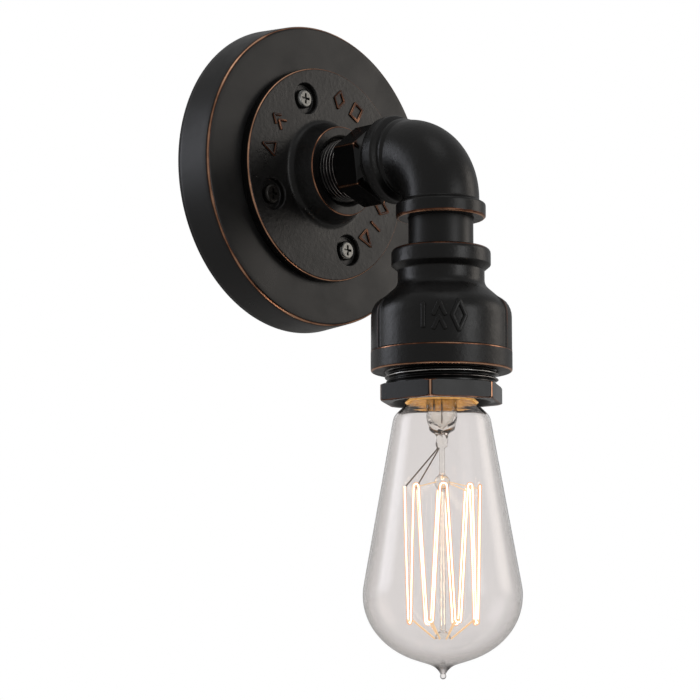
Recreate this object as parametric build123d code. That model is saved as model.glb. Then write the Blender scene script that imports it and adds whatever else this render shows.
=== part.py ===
from build123d import *
import math
import os

# A wall light built from pipe fittings: a pan and a cast flange on the wall, a threaded arm, an elbow,
# a short drop, and a bell reducer whose bushing holds a lampholder with one long filament bulb.
# Millimetres. The origin is the middle of the pan's back, on the wall. Z is up and Y goes into the wall.
# "Out" is the distance from the wall along the arm, and "down" the distance below the arm's axis.

# Clearances
screwed_fit = 0.1
running_gap = 0.3
screw_hole_gap = 0.4

# Pan on the wall, pressed from sheet
canopy_back_r = 66.7
canopy_front_r = 65.3
canopy_depth = 17.0
canopy_sheet = 1.2
canopy_edge = 1.6
canopy_hole_r = 11.0

# Cast flange with its threaded hub and four screw recesses
flange_r = 46.4
flange_thick = 4.0
flange_edge = 0.8
hub_r = 19.2
hub_height = 14.5
hub_root = 2.9
hub_mouth = 2.0
hub_edge = 0.8
screw_circle_r = 34.0
recess_r = 6.5
recess_depth = 2.5
mount_angle = 112.0

# Pan head screws and their nuts
screw_r = 2.0
screw_head_r = 4.15
screw_head_h = 2.3
screw_head_round = 1.2
cross_length = 4.6
cross_width = 1.1
cross_depth = 1.2
mount_screw_stop = 0.3
nut_across = 7.0
nut_thick = 3.2
screw_past_nut = 1.4

# Cross bar that screws to the wall box
strap_past_hole = 7.55
strap_width = 19.0
strap_thick = 2.0
strap_window_r = 7.0
box_screw_spacing = 88.9
box_hole_r = 2.4
ground_spot = -17.0

# Pipe, its threads and the hexagon nipple of the arm
pipe_r = 13.35
pipe_bore_r = 10.45
pipe_pitch = 1.814
pipe_thread_depth = 1.1
arm_thread_back = 9.5
arm_hex_across = 30.0
arm_hex_length = 12.0
arm_hex_turn = 8.5
arm_thread_front = 6.3
arm_start = 1.0

# Bevel on the corners of the hexagons: its first radius as a share of the flats, and its slope
hex_face_share = 1.1
hex_blank_share = 1.02
hex_bevel_angle = 25.0

# Elbow
elbow_r = 15.9
elbow_bend_r = 20.5
elbow_mouth = 8.0
bead_r = 18.5
bead_length = 5.8
bead_edge = 1.2
bead_slope = 1.5

# Drop nipple
drop_show = 12.6
drop_engage = 12.0

# Bell reducer
reducer_height = 51.0
collar_r = 20.4
collar_height = 7.0
collar_top_round = 2.2
collar_slope = 2.2
collar_edge = 0.9
neck_r = 17.8
neck_end = 15.4
flare_length = 9.0
flare_round = 3.0
bell_r = 28.0
rib_rise = 0.8
rib_arc = 50.0
rib_middle = -45.0
band_r = 28.9
band_height = 8.8
band_edge = 0.9
holder_seat = 32.8
bell_bore_r = 20.5
cone_length = 13.0
throat_r = 11.0

# Hexagon bushing
bushing_thread_r = 23.2
bushing_pitch = 2.2
bushing_thread_depth = 1.3
bushing_thread_show = 5.6
bushing_hex_across = 46.0
bushing_hex_height = 6.9
bushing_hex_turn = 33.0
bushing_bore_r = 20.1

# Lampholder
holder_flange_r = 22.7
holder_flange_height = 5.0
holder_r = 19.5
holder_depth = 28.0
holder_boss_r = 10.5
holder_boss_height = 7.0
holder_ceiling = 3.5
holder_edge = 0.9
shell_wall = 0.4
shell_lip_r = 9.8
shell_short = 1.0
shell_tab_width = 3.0

# Centre contact tongue and its rivet
tongue_thick = 0.5
tongue_width = 4.4
tongue_drop = 1.4
tongue_tip = 2.2
tongue_slope = 3.1
tongue_bend_gap = 0.22
rivet_r = 1.1
rivet_head_r = 2.0
rivet_head_h = 0.7
rivet_length = 5.5

# Leads and the twist-on connectors on their ends
lead_r = 1.1
lead_offset = 6.5
lead_level = 8.5
lead_bend = 5.8
lead_run = 16.0
lead_angle = -30.0
connector_length = 17.0
connector_mouth_r = 4.9
connector_tip_r = 3.3
connector_skirt = 5.0
connector_bore_depth = 9.0
connector_lip = 0.4
connector_edge = 0.9

# Ground screw and ground wire
ground_wire_r = 0.8
ground_ring_r = 4.2
ground_ring_thick = 0.8
ground_barrel_r = 1.3
ground_barrel_length = 6.0
ground_bend = 5.0
ground_slope_start = 0.3
ground_slope_end = 0.7
ground_tail = 3.5

# Bulb: cap with a round thread, insulator, contact
cap_mean_r = 12.75
cap_thread_depth = 0.84
cap_pitch = 3.629
cap_length = 24.6
cap_wall = 0.4
cap_thread_short = 3.0
cap_rim_r = 15.0
cap_rim_height = 2.6
cap_shoulder = 3.0
cap_eye_r = 9.4
insulator_height = 3.4
insulator_top_r = 5.4
contact_r = 4.6
contact_height = 1.6
wire_hole_r = 1.6

# Bulb: glass
glass_wall = 0.8
glass_neck_r = 11.3
glass_neck_height = 14.0
glass_flare_start = 2.2
glass_flare_angle = 47.0
glass_shoulder_round = 6.0
glass_cone_angle = 10.15
belly_r = 32.2
belly_down = 78.0
belly_depth = 27.6
tip_root_r = 6.5
tip_root_in = 0.6
tip_neck_r = 1.15
tip_neck_start = 1.6
tip_neck_round = 4.0
tip_ball_r = 1.25
tip_length = 5.9

# Bulb: stem inside the glass
stem_flare_r = 10.2
stem_tube_r = 6.3
stem_wall = 0.8
stem_start = 12.0
stem_round_start = 3.5
stem_neck = 10.0
press_r = 2.05
press_length = 6.0
rod_r = 1.2
button_r = 3.2

# Bulb: filament cage, its hooks and its lead-in wires
cage_top = 34.0
cage_height = 55.0
cage_top_r = 15.3
cage_bottom_r = 14.6
cage_turn = 135.0
strand_pairs = 7
filament_r = 0.25
bend_half = 0.85
bend_round = 0.75
hook_wire_r = 0.2
lower_hook_r = 0.35
hook_past = 0.8
hook_rise = 1.5
hook_drop = 6.2
lead_in_r = 0.3
lead_in_drop = 3.0

# Places that follow from the sizes
flange_front = canopy_depth + flange_thick
hub_front = canopy_depth + hub_height
screw_seat = flange_front - recess_depth
pan_inside = canopy_depth - canopy_sheet
strap_length = box_screw_spacing + 2 * strap_past_hole
flange_screw_angle = mount_angle + 90.0
arm_hex_start = hub_front + arm_thread_back
arm_hex_end = arm_hex_start + arm_hex_length
elbow_face = arm_hex_end + arm_thread_front
reach = elbow_face + elbow_mouth + elbow_bend_r
elbow_outlet = elbow_bend_r + elbow_mouth
reducer_top = elbow_outlet + drop_show
reducer_end = reducer_top + reducer_height
seat_down = reducer_top + holder_seat
bushing_top = seat_down + screwed_fit + holder_flange_height + screwed_fit
bushing_hex_top = reducer_end + bushing_thread_show
bushing_end = bushing_hex_top + bushing_hex_height
holder_top = seat_down + screwed_fit
holder_end = holder_top + holder_depth
ceiling = holder_top + holder_ceiling
tongue_top = ceiling + running_gap
tongue_tip_face = tongue_top + tongue_thick + tongue_drop
lamp_top = tongue_tip_face + running_gap
lamp_rim = lamp_top + cap_length
shell_mean_r = cap_mean_r + running_gap
shell_outer_r = shell_mean_r + cap_thread_depth / 2 + shell_wall
cage_start = lamp_rim + cage_top
cage_end = cage_start + cage_height

# Working frames: x runs along the axis of a turned piece, y is its radius
ARM = Plane(origin=(0, 0, 0), x_dir=(0, -1, 0), z_dir=(-1, 0, 0))
DROP = Plane(origin=(0, -reach, 0), x_dir=(0, 0, -1), z_dir=(0, -1, 0))
FRONT = Plane(origin=(0, 0, 0), x_dir=(1, 0, 0), z_dir=(0, -1, 0))


def section(frame, along):
    """The plane across a frame's axis, at a distance along it."""
    return Plane(frame.from_local_coords((along, 0, 0)), x_dir=frame.y_dir, z_dir=frame.x_dir)


def turned(frame, corners, arc=360):
    """Turn an outline about the frame's axis. A corner is (along, radius) or (along, radius, rounding)."""
    points = [corner[:2] for corner in corners]
    rounds = [corner[2] if len(corner) == 3 else 0 for corner in corners]
    outline = make_face(FilletPolyline(*points, radius=rounds, close=True))
    return revolve(frame * outline, Axis(frame.origin, frame.x_dir), arc)


def post(frame, start, end, radius):
    """A round bar along the frame's axis."""
    return section(frame, start) * extrude(Circle(radius), end - start)


def tube(frame, start, end, outer, inner):
    """A round bar with a bore right through."""
    return turned(frame, [(start, inner), (end, inner), (end, outer), (start, outer)])


def round_thread(frame, start, end, mean_r, depth, pitch, circles_per_turn=8):
    """A bar with a right-hand round thread: circles whose middles ride on a helix, skinned in turn."""
    steps = math.ceil((end - start) / pitch * circles_per_turn)
    circle = Face(Wire([CenterArc((0, 0), mean_r, third, 120).edge() for third in (0, 120, 240)]))
    circles = []
    for step in range(steps + 1):
        along = start + (end - start) * step / steps
        turn = 2 * math.pi * along / pitch
        middle = Pos(depth / 2 * math.cos(turn), depth / 2 * math.sin(turn))
        circles.append(section(frame, along) * (middle * circle))
    return loft(circles)


def hexagon(frame, start, end, across, turn=0):
    """A hexagon bar along the frame's axis, with its corners turned off at both ends."""
    face_r = across / 2 * hex_face_share
    past_corner_r = across / math.sqrt(3) * hex_blank_share
    bevel = (past_corner_r - face_r) * math.tan(math.radians(hex_bevel_angle))
    face = Rot(0, 0, turn) * RegularPolygon(across / 2, 6, major_radius=False)
    bar = section(frame, start) * extrude(face, end - start)
    blank = [(start, 0), (start, face_r), (start + bevel, past_corner_r)]
    blank += [(end - bevel, past_corner_r), (end, face_r), (end, 0)]
    return bar & turned(frame, blank)


def front_spot(angle, radius, out):
    """A plane that faces away from the wall, at a polar place seen from the front."""
    x = radius * math.cos(math.radians(angle))
    y = radius * math.sin(math.radians(angle))
    return Plane(FRONT.from_local_coords((x, y, out)), x_dir=FRONT.x_dir, z_dir=FRONT.z_dir)


def pan_screw(seat, length):
    """A pan head screw with a cross recess, driven in behind its seat plane."""
    head = extrude(Circle(screw_head_r), screw_head_h)
    head = fillet(head.edges().group_by(Axis.Z)[-1], screw_head_round)
    recess_middle = Pos(0, 0, screw_head_h)
    for size in ((cross_length, cross_width), (cross_width, cross_length)):
        head -= recess_middle * Box(size[0], size[1], 2 * cross_depth)
    return seat * (head + extrude(Circle(screw_r), -length))


def wire(points, rounds, radius):
    """A round wire or lead: straight runs joined by tangent arcs."""
    path = FilletPolyline(*points, radius=rounds)
    return sweep(Plane(path @ 0, z_dir=path % 0) * Circle(radius), path)


nodes = {}

# Cross bar: a flat steel bar on the wall box, turned to the line of the mounting screws
strap_place = FRONT.location * Rot(0, 0, mount_angle)
strap = extrude(SlotOverall(strap_length, strap_width), strap_thick)
strap -= extrude(Circle(strap_window_r), strap_thick)
for side in (-1, 1):
    strap -= Pos(side * box_screw_spacing / 2, 0) * extrude(Circle(box_hole_r), strap_thick)
    strap -= Pos(side * screw_circle_r, 0) * extrude(Circle(screw_r + screwed_fit), strap_thick)
strap -= Pos(ground_spot, 0) * extrude(Circle(screw_r + screwed_fit), strap_thick)
nodes["mounting_strap"] = strap_place * strap

# Pan: its open back sits on the wall, and the flange sits on its front
canopy = turned(ARM, [
    (0, canopy_back_r),
    (canopy_depth, canopy_front_r, canopy_edge),
    (canopy_depth, canopy_hole_r),
    (pan_inside, canopy_hole_r),
    (pan_inside, canopy_front_r - canopy_sheet, canopy_edge / 2),
    (0, canopy_back_r - canopy_sheet),
])
screw_angles = [mount_angle + 90.0 * step for step in range(4)]
for angle in screw_angles:
    canopy -= front_spot(angle, screw_circle_r, 0) * extrude(Circle(screw_r + screw_hole_gap), canopy_depth)
nodes["canopy"] = canopy

# Flange: a cast disc with a threaded hub, and a recess round each screw
flange = turned(ARM, [
    (canopy_depth, pipe_r + screwed_fit),
    (hub_front - hub_mouth, pipe_r + screwed_fit),
    (hub_front, pipe_r + screwed_fit + hub_mouth),
    (hub_front, hub_r, hub_edge),
    (flange_front, hub_r + hub_root, hub_root),
    (flange_front, flange_r, flange_edge),
    (canopy_depth, flange_r),
])
for angle in screw_angles:
    flange -= front_spot(angle, screw_circle_r, screw_seat) * extrude(Circle(recess_r), recess_depth)
    flange -= front_spot(angle, screw_circle_r, canopy_depth) * extrude(
        Circle(screw_r + screw_hole_gap), flange_thick)
nodes["flange"] = flange

# Long screws through flange and pan into the cross bar, and short ones that clamp flange and pan
mount_angles = (mount_angle, mount_angle + 180.0)
clamp_angles = (flange_screw_angle, flange_screw_angle + 180.0)
mount_length = screw_seat - mount_screw_stop
clamp_length = screw_seat - pan_inside + ground_ring_thick + nut_thick + screw_past_nut
nodes["mounting_screws"] = Compound(
    [pan_screw(front_spot(angle, screw_circle_r, screw_seat), mount_length) for angle in mount_angles])
nodes["flange_screws"] = Compound(
    [pan_screw(front_spot(angle, screw_circle_r, screw_seat), clamp_length) for angle in clamp_angles])

# Nuts inside the pan; the first clamps the ground wire's ring too
nut = extrude(RegularPolygon(nut_across / 2, 6, major_radius=False), -nut_thick)
nut -= extrude(Circle(screw_r + screwed_fit), -nut_thick)
nut_levels = (pan_inside - ground_ring_thick, pan_inside)
nodes["flange_nuts"] = Compound(
    [front_spot(angle, screw_circle_r, level) * nut for angle, level in zip(clamp_angles, nut_levels)])

# Ground screw on the cross bar, with the wire under its head
ground_level = strap_thick + ground_wire_r
ground_seat = front_spot(mount_angle, ground_spot, strap_thick + 2 * ground_wire_r + screwed_fit)
ground_screw_length = strap_thick + 2 * ground_wire_r + screwed_fit - mount_screw_stop
nodes["ground_screw"] = pan_screw(ground_seat, ground_screw_length)

# Ground wire: a ring under the flange nut, a crimped barrel, and a bare wire to the ground screw
ring_plane = front_spot(clamp_angles[0], screw_circle_r, pan_inside - ground_ring_thick)
ring_middle = FRONT.to_local_coords(ring_plane.origin)
screw_middle = FRONT.to_local_coords(ground_seat.origin)
towards = Vector(screw_middle.X - ring_middle.X, screw_middle.Y - ring_middle.Y)
sideways = Vector(-towards.Y, towards.X).normalized() * (screw_r + ground_wire_r + 2 * screwed_fit)
towards = towards + sideways
heading = towards.normalized()
barrel_level = pan_inside - ground_barrel_r - screwed_fit


def ground_point(run, level):
    """A point of the ground wire: a run from the ring's middle, at a distance from the wall."""
    return FRONT.from_local_coords((ring_middle.X + heading.X * run, ring_middle.Y + heading.Y * run, level))


barrel_start = nut_across / math.sqrt(3) + running_gap
barrel_end = barrel_start + ground_barrel_length
ground_run = towards.length
free_run = ground_run - barrel_end
ground_wire = wire(
    [
        ground_point(barrel_end, barrel_level),
        ground_point(barrel_end + free_run * ground_slope_start, barrel_level),
        ground_point(barrel_end + free_run * ground_slope_end, ground_level),
        ground_point(ground_run + ground_tail, ground_level),
    ],
    [ground_bend, ground_bend],
    ground_wire_r,
)
wire_heading = ground_point(1, 0) - ground_point(0, 0)
barrel_plane = Plane(ground_point(barrel_start, barrel_level), z_dir=wire_heading)
ground_wire += barrel_plane * extrude(Circle(ground_barrel_r), ground_barrel_length)
tag_length = barrel_start + ground_barrel_r
tag_plane = Plane(ring_plane.origin, x_dir=wire_heading, z_dir=FRONT.z_dir)
tag = Circle(ground_ring_r) + Pos(tag_length / 2, 0) * Rectangle(tag_length, 2 * ground_barrel_r)
ground_wire += tag_plane * extrude(tag, ground_ring_thick)
ground_wire -= front_spot(clamp_angles[0], screw_circle_r, 0) * extrude(
    Circle(screw_r + screw_hole_gap), canopy_depth)
nodes["ground_wire"] = ground_wire

# Arm: one nipple with a hexagon between two threads, bored for the leads
arm_inner_end = canopy_depth + arm_start
arm_outer_end = elbow_face + elbow_mouth - running_gap
thread_mean_r = pipe_r - pipe_thread_depth / 2
arm = round_thread(ARM, arm_inner_end, arm_hex_start, thread_mean_r, pipe_thread_depth, pipe_pitch)
arm += round_thread(ARM, arm_hex_end, arm_outer_end, thread_mean_r, pipe_thread_depth, pipe_pitch)
arm += hexagon(ARM, arm_hex_start, arm_hex_end, arm_hex_across, arm_hex_turn)
nodes["hex_nipple"] = arm - post(ARM, arm_inner_end, arm_outer_end, pipe_bore_r)

# Elbow: a bend with a bead round each mouth
elbow_path = FilletPolyline(
    (0, -elbow_face, 0), (0, -reach, 0), (0, -reach, -elbow_outlet), radius=elbow_bend_r)
elbow = sweep(section(ARM, elbow_face) * Circle(elbow_r), elbow_path)
bead = [(0, 0), (0, bead_r, bead_edge), (bead_length, bead_r, bead_edge)]
bead += [(bead_length + bead_slope, elbow_r), (bead_length + bead_slope, 0)]
elbow += turned(ARM, [(elbow_face + corner[0], *corner[1:]) for corner in bead])
elbow += turned(DROP, [(elbow_outlet - corner[0], *corner[1:]) for corner in bead])
elbow -= sweep(section(ARM, elbow_face) * Circle(pipe_bore_r), elbow_path)
elbow -= post(ARM, elbow_face, elbow_face + elbow_mouth, pipe_r + screwed_fit)
elbow -= post(DROP, elbow_outlet - elbow_mouth, elbow_outlet, pipe_r + screwed_fit)
nodes["elbow"] = elbow

# Drop: a plain nipple between elbow and reducer
drop_top = elbow_outlet - elbow_mouth + running_gap
nodes["drop_nipple"] = tube(DROP, drop_top, reducer_top + drop_engage, pipe_r, pipe_bore_r)

# Reducer: a cast bell with a collar, a waist, a flare, two broad ribs and a band round its mouth
band_top = reducer_height - band_height
band_step = abs(band_r - bell_r)
bushing_socket_r = bushing_thread_r + screwed_fit
drop_socket_end = drop_engage + running_gap
bell_outline = [
    (0, collar_r, collar_top_round),
    (collar_height, collar_r, collar_edge),
    (collar_height + collar_slope, neck_r, collar_edge),
    (neck_end, neck_r, flare_round),
    (neck_end + flare_length, bell_r, flare_round),
    (band_top, bell_r),
    (band_top + band_step, band_r, band_step / 2),
    (reducer_height, band_r, band_edge),
    (reducer_height, bushing_socket_r),
    (holder_seat, bushing_socket_r),
    (holder_seat, bell_bore_r),
    (drop_socket_end + cone_length, bell_bore_r),
    (drop_socket_end, throat_r),
    (drop_socket_end, pipe_r + screwed_fit),
    (0, pipe_r + screwed_fit),
]
reducer = turned(DROP, [(reducer_top + corner[0], *corner[1:]) for corner in bell_outline])
rib_outline = [
    (neck_end + flare_length / 2, bell_bore_r + rib_rise),
    (neck_end + flare_length, bell_r + rib_rise, flare_round),
    (band_top + band_step, bell_r + rib_rise),
    (band_top + band_step, bushing_socket_r + rib_rise),
    (neck_end + flare_length, bushing_socket_r + rib_rise),
]
for middle in (rib_middle, rib_middle + 180.0):
    rib_frame = Plane(DROP.location * Rot(-middle - rib_arc / 2, 0, 0))
    reducer += turned(rib_frame, [(reducer_top + corner[0], *corner[1:]) for corner in rib_outline], rib_arc)
nodes["reducer"] = reducer

# Bushing: a threaded sleeve with a hexagon, screwed up into the reducer until it traps the lampholder
bushing_mean_r = bushing_thread_r - bushing_thread_depth / 2
bushing = round_thread(
    DROP, bushing_top, bushing_hex_top, bushing_mean_r, bushing_thread_depth, bushing_pitch)
bushing += hexagon(DROP, bushing_hex_top, bushing_end, bushing_hex_across, -bushing_hex_turn)
nodes["hex_bushing"] = bushing - post(DROP, bushing_top, bushing_end, bushing_bore_r)

# Lampholder: a moulded cup with a flange and a boss, and a hole down each side for a lead
holder_bore_r = shell_outer_r + screwed_fit
holder = turned(DROP, [
    (holder_top - holder_boss_height, 0),
    (holder_top - holder_boss_height, holder_boss_r, holder_edge),
    (holder_top, holder_boss_r),
    (holder_top, holder_flange_r),
    (holder_top + holder_flange_height, holder_flange_r),
    (holder_top + holder_flange_height, holder_r),
    (holder_end, holder_r, holder_edge),
    (holder_end, holder_bore_r),
    (ceiling, holder_bore_r),
    (ceiling, 0),
])
lead_hole_r = lead_r + screwed_fit
for side in (-1, 1):
    lead_hole = Pos(side * lead_offset, 0) * Circle(lead_hole_r)
    holder -= section(DROP, holder_top - holder_boss_height) * extrude(
        lead_hole, holder_boss_height + holder_ceiling)
nodes["lampholder_body"] = holder

# Screw shell: brass, with the cap's thread inside, a lip against the ceiling and a tab to one lead
shell_top = ceiling + screwed_fit
shell_end = holder_end - shell_short
shell = post(DROP, shell_top, shell_end, shell_outer_r)
shell -= round_thread(DROP, shell_top + shell_wall, shell_end, shell_mean_r, cap_thread_depth, cap_pitch)
shell -= post(DROP, shell_top, shell_end, shell_lip_r)
tab_reach = shell_lip_r - lead_offset + shell_tab_width / 2 + shell_wall
tab_middle = lead_offset - shell_tab_width / 2 + tab_reach / 2
shell += section(DROP, shell_top) * (
    Pos(-tab_middle, 0) * extrude(Rectangle(tab_reach, shell_tab_width), shell_wall))
nodes["screw_shell"] = shell

# Centre contact: a sprung brass tongue, held loosely by a rivet beside the axis
root_end = lead_offset - rivet_head_r - tongue_bend_gap
tip_start = root_end - tongue_slope
tongue_bottom = tongue_top + tongue_thick
side_view = Plane(origin=(0, -reach, 0), x_dir=(1, 0, 0), z_dir=(0, -1, 0))
tongue_outline = make_face(Polyline(
    (lead_offset + tongue_width / 2, -tongue_top),
    (root_end, -tongue_top),
    (tip_start, -tongue_top - tongue_drop),
    (-tongue_tip, -tongue_top - tongue_drop),
    (-tongue_tip, -tongue_bottom - tongue_drop),
    (tip_start, -tongue_bottom - tongue_drop),
    (root_end, -tongue_bottom),
    (lead_offset + tongue_width / 2, -tongue_bottom),
    close=True,
))
tongue = extrude(side_view * tongue_outline, tongue_width / 2, both=True)
rivet_hole = section(DROP, tongue_top) * (
    Pos(lead_offset, 0) * extrude(Circle(rivet_r + screw_hole_gap), tongue_thick))
nodes["centre_contact"] = tongue - rivet_hole

rivet_head_top = tongue_bottom + running_gap
rivet_top = ceiling - rivet_length
rivet = section(DROP, rivet_top) * (
    Pos(lead_offset, 0) * extrude(Circle(rivet_r), rivet_head_top - rivet_top))
rivet += section(DROP, rivet_head_top) * (Pos(lead_offset, 0) * extrude(Circle(rivet_head_r), rivet_head_h))
nodes["contact_rivet"] = rivet

# Leads: from the lampholder up the drop, round the elbow, through the arm and into a connector in the pan
connector_bore_r = lead_r + screwed_fit
connectors = []
lead_feet = {"line_lead": rivet_top - screwed_fit, "neutral_lead": shell_top - screwed_fit}
for name, side in (("line_lead", 1), ("neutral_lead", -1)):
    turn = math.radians(lead_angle)
    outwards = Vector(side * math.cos(turn), 0, side * math.sin(turn))
    bend_point = Vector(side * lead_offset, -lead_level, 0)
    lead_end = bend_point + outwards * lead_run
    nodes[name] = wire(
        [
            (side * lead_offset, -reach, -lead_feet[name]),
            (side * lead_offset, -reach, 0),
            bend_point,
            lead_end,
        ],
        [elbow_bend_r, lead_bend],
        lead_r,
    )
    mouth = lead_end - outwards * (connector_bore_depth - screwed_fit)
    connectors.append(turned(Plane(mouth, x_dir=outwards, z_dir=(0, 1, 0)), [
        (0, connector_bore_r),
        (0, connector_mouth_r, connector_lip),
        (connector_skirt, connector_mouth_r),
        (connector_length, connector_tip_r, connector_edge),
        (connector_length, 0),
        (connector_bore_depth, 0),
        (connector_bore_depth, connector_bore_r),
    ]))
nodes["wire_connectors"] = Compound(connectors)

# Lamp contact and insulator on top of the cap
contact_end = lamp_top + contact_height
insulator_end = contact_end + insulator_height
nodes["lamp_contact"] = turned(DROP, [
    (lamp_top, 0),
    (lamp_top, contact_r, contact_height / 2),
    (contact_end, contact_r),
    (contact_end, 0),
])
nodes["lamp_insulator"] = turned(DROP, [
    (contact_end, wire_hole_r),
    (contact_end, insulator_top_r),
    (insulator_end, cap_eye_r),
    (insulator_end, wire_hole_r),
])

# Lamp cap: a brass shell with a shoulder, a round thread and a flared rim
cap_outer_r = cap_mean_r - cap_thread_depth / 2
cap_core_r = cap_outer_r - cap_wall / 2
cap_bore_r = cap_outer_r - cap_wall
thread_top = insulator_end + cap_shoulder
thread_end = lamp_rim - cap_thread_short
cap = turned(DROP, [
    (insulator_end, 0),
    (insulator_end, cap_eye_r),
    (thread_top, cap_core_r),
    (lamp_rim - cap_rim_height, cap_core_r),
    (lamp_rim, cap_rim_r),
    (lamp_rim, 0),
])
cap += round_thread(DROP, thread_top, thread_end, cap_mean_r, cap_thread_depth, cap_pitch)
cap -= turned(DROP, [
    (insulator_end, 0),
    (insulator_end, wire_hole_r),
    (insulator_end + cap_wall, wire_hole_r),
    (insulator_end + cap_wall, cap_eye_r - cap_wall),
    (thread_top, cap_bore_r),
    (lamp_rim - cap_rim_height + cap_wall, cap_bore_r),
    (lamp_rim, cap_rim_r - cap_wall),
    (lamp_rim, 0),
])
nodes["lamp_cap"] = cap

# Glass: a neck in the cap, a quick flare, a long cone, and a belly that is a quarter ellipse with a tip
cone_slope = math.tan(math.radians(glass_cone_angle))
flare_slope = math.tan(math.radians(glass_flare_angle))
flare_start = lamp_rim - glass_flare_start
belly_middle = lamp_rim + belly_down


def glass_body(inset):
    """The bulb's form, turned solid, drawn in by an inset: neck, flare, straight cone, elliptic belly."""
    wide = belly_r - inset
    deep = belly_depth - inset
    meet = 90.0 + math.degrees(math.atan(cone_slope * deep / wide))
    meet_down = belly_middle + deep * math.cos(math.radians(meet))
    meet_r = wide * math.sin(math.radians(meet))
    neck = glass_neck_r - inset
    rise = meet_r - neck + flare_slope * flare_start - cone_slope * meet_down
    shoulder = rise / (flare_slope - cone_slope)
    shoulder_r = neck + flare_slope * (shoulder - flare_start)
    top = lamp_rim - glass_neck_height
    side = FilletPolyline(
        (top, 0), (top, neck), (flare_start, neck), (shoulder, shoulder_r), (meet_down, meet_r),
        radius=[0, glass_neck_r / 4, glass_shoulder_round],
    )
    belly = EllipticalCenterArc((belly_middle, 0), deep, wide, start_angle=0, arc_size=meet)
    axis_line = Line((belly_middle + deep, 0), (top, 0))
    face = make_face(Curve() + side + belly + axis_line)
    return revolve(DROP * face, Axis(DROP.origin, DROP.x_dir), 360)


glass_end = belly_middle + belly_depth
tip_end = glass_end + tip_length
neck_opening = post(DROP, lamp_rim - glass_neck_height, lamp_rim - glass_neck_height + glass_wall,
                    glass_neck_r - glass_wall)
glass = glass_body(0) - glass_body(glass_wall) - neck_opening
tip_wall = glass_end - tip_root_in
glass += turned(DROP, [
    (tip_wall, 0),
    (tip_wall, tip_root_r),
    (glass_end + tip_neck_start, tip_neck_r, tip_neck_round),
    (tip_end - tip_ball_r, tip_neck_r),
    (tip_end - tip_ball_r, 0),
])
glass += section(DROP, tip_end - tip_ball_r) * Sphere(tip_ball_r)
nodes["bulb_glass"] = glass

# Stem: a flared glass tube in the neck, pinched to a press, with a rod that carries two buttons
stem_top = lamp_rim - stem_start
press_start = lamp_rim + stem_neck
press_end = press_start + press_length
stem_round = lamp_rim + stem_round_start
stem = turned(DROP, [
    (stem_top, stem_flare_r - stem_wall),
    (stem_top, stem_flare_r),
    (stem_top + stem_flare_r - stem_tube_r, stem_tube_r, stem_wall),
    (stem_round, stem_tube_r, stem_tube_r / 2),
    (press_start, press_r, press_r / 2),
    (press_end, press_r),
    (press_end, 0),
    (press_start - stem_wall, 0),
    (stem_round, stem_tube_r - stem_wall, stem_tube_r / 2),
    (stem_top + stem_flare_r - stem_tube_r, stem_tube_r - stem_wall),
])
stem += post(DROP, press_end, cage_end, rod_r)
for level in (cage_start - hook_rise, cage_end + hook_drop):
    stem += section(DROP, level) * Sphere(button_r)
stem += post(DROP, cage_end, cage_end + hook_drop, rod_r)
nodes["stem"] = stem

# Filament: one wire that zigzags between hooks, from one lead-in wire to the other
cage_step = 360.0 / (strand_pairs + 1)


def cage_point(turn, radius, down, across=0.0):
    """A point on the cage: an angle about the axis, a radius, a depth, and a step along the circle."""
    angle = math.radians(turn)
    x = radius * math.cos(angle) - across * math.sin(angle)
    y = radius * math.sin(angle) + across * math.cos(angle)
    return Vector(x, y - reach, -down)


bend_sides = (-bend_half, bend_half)
strand_points = [cage_point(cage_turn, cage_top_r, cage_start)]
hook_tops = []
hook_bottoms = []
for pair in range(strand_pairs):
    low_turn = cage_turn + (pair + 0.5) * cage_step
    high_turn = cage_turn + (pair + 1) * cage_step
    hook_bottoms.append(low_turn)
    strand_points += [cage_point(low_turn, cage_bottom_r, cage_end, across) for across in bend_sides]
    if pair < strand_pairs - 1:
        hook_tops.append(high_turn)
        strand_points += [cage_point(high_turn, cage_top_r, cage_start, across) for across in bend_sides]
strand_points.append(cage_point(cage_turn + strand_pairs * cage_step, cage_top_r, cage_start))
nodes["filament"] = wire(strand_points, [bend_round] * (len(strand_points) - 2), filament_r)

# Hooks: wires from the buttons that pass through the filament's bends
hooks = []
for turns, radius, down, rise, wire_r in (
    (hook_tops, cage_top_r, cage_start + bend_half, -hook_rise, hook_wire_r),
    (hook_bottoms, cage_bottom_r, cage_end - bend_half, hook_drop, lower_hook_r),
):
    for turn in turns:
        button_point = cage_point(turn, button_r + wire_r, down + rise - math.copysign(bend_half, -rise))
        elbow_point = cage_point(turn, radius - 2 * bend_half, down)
        tip_point = cage_point(turn, radius + hook_past, down)
        hooks.append(wire([button_point, elbow_point, tip_point], [bend_half], wire_r))
nodes["filament_hooks"] = Compound(hooks)

# Lead-in wires: from the press to the filament's ends, and above it to the contact and to the cap
lead_ins = []
for pair in (0, strand_pairs):
    end_turn = cage_turn + pair * cage_step
    foot_r = (rod_r + press_r) / 2
    end_r = cage_top_r - filament_r - lead_in_r - screwed_fit
    lead_ins.append(wire(
        [
            cage_point(end_turn, foot_r + lead_in_r, press_end + screwed_fit / 2),
            cage_point(end_turn, foot_r + lead_in_r, press_end + lead_in_drop),
            cage_point(end_turn, end_r, cage_start),
        ],
        [lead_in_r * 3],
        lead_in_r,
    ))
inside_top = contact_end + screwed_fit / 2
inside_end = press_start - 2 * stem_wall
lead_ins.append(post(DROP, inside_top, inside_end, lead_in_r))
lead_ins.append(wire(
    [
        cage_point(cage_turn, stem_tube_r / 2, inside_end - stem_tube_r),
        cage_point(cage_turn, stem_tube_r / 2, stem_top),
        cage_point(cage_turn, cap_bore_r - lead_in_r, thread_top),
    ],
    [stem_tube_r / 2],
    lead_in_r,
))
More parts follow.
